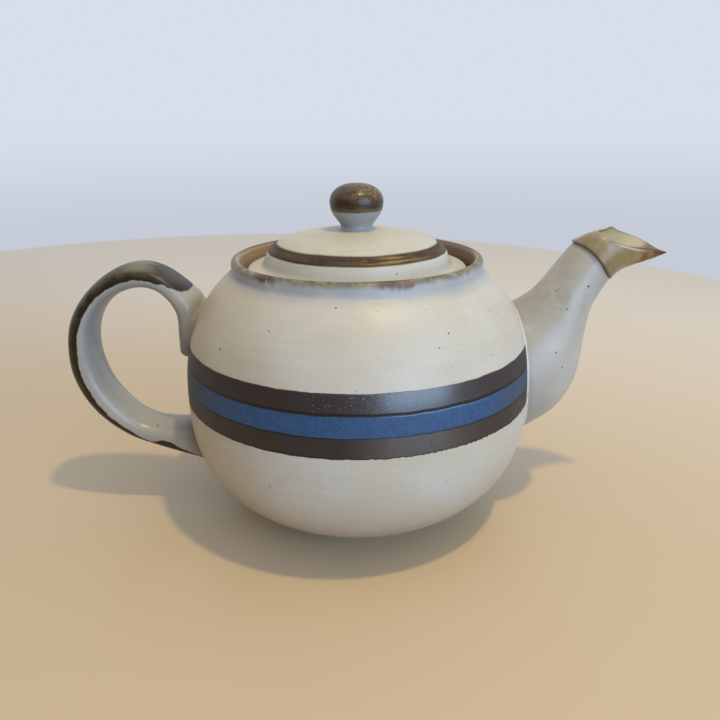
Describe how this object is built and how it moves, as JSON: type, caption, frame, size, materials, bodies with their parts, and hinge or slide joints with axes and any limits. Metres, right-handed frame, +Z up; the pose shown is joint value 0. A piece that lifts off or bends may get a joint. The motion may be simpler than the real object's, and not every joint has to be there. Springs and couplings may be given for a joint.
{
  "type": "teapot with infuser",
  "caption": "Round stoneware teapot with a strap handle, a curved spout with a soft drip guard, a sunk lid with a ball knob and a lift-out mesh infuser basket.",
  "frame": {"origin": "on the surface the pot stands on, under the axis of the pot", "axes": "+X towards the spout, -X towards the handle, +Z up through the knob"},
  "size_m": [0.2484, 0.145, 0.1404],
  "materials": {
    "striped_glaze": "satin",
    "oatmeal_glaze": "satin",
    "handle_glaze": "satin",
    "lid_glaze": "satin",
    "knob_glaze": "gloss",
    "amber_vinyl": "gloss",
    "pressed_steel": "satin",
    "woven_steel": "satin"
  },
  "bodies": {
    "pot": {"pot_body": "striped_glaze", "pot_collar": "striped_glaze", "spout": "oatmeal_glaze", "handle": "handle_glaze"},
    "infuser": {"infuser_flange_ring": "pressed_steel", "infuser_clamp_band": "pressed_steel", "infuser_mesh_sleeve": "woven_steel", "infuser_seam_strip": "pressed_steel", "infuser_mesh_floor": "woven_steel", "infuser_foot_band": "pressed_steel"},
    "lid": {"lid": "lid_glaze", "lid_knob": "knob_glaze"},
    "guard": {"spout_guard": "amber_vinyl"}
  },
  "joints": [
    {"name": "infuser_lift", "type": "slide", "parent": "pot", "child": "infuser", "axis": [0, 0, 1], "range_m": [0, 0.09]},
    {"name": "lid_lift", "type": "slide", "parent": "infuser", "child": "lid", "axis": [0, 0, 1], "range_m": [0, 0.06]},
    {"name": "guard_pull", "type": "slide", "parent": "pot", "child": "guard", "axis": [0.6, 0, 0.8], "range_m": [0, 0.03]}
  ]
}
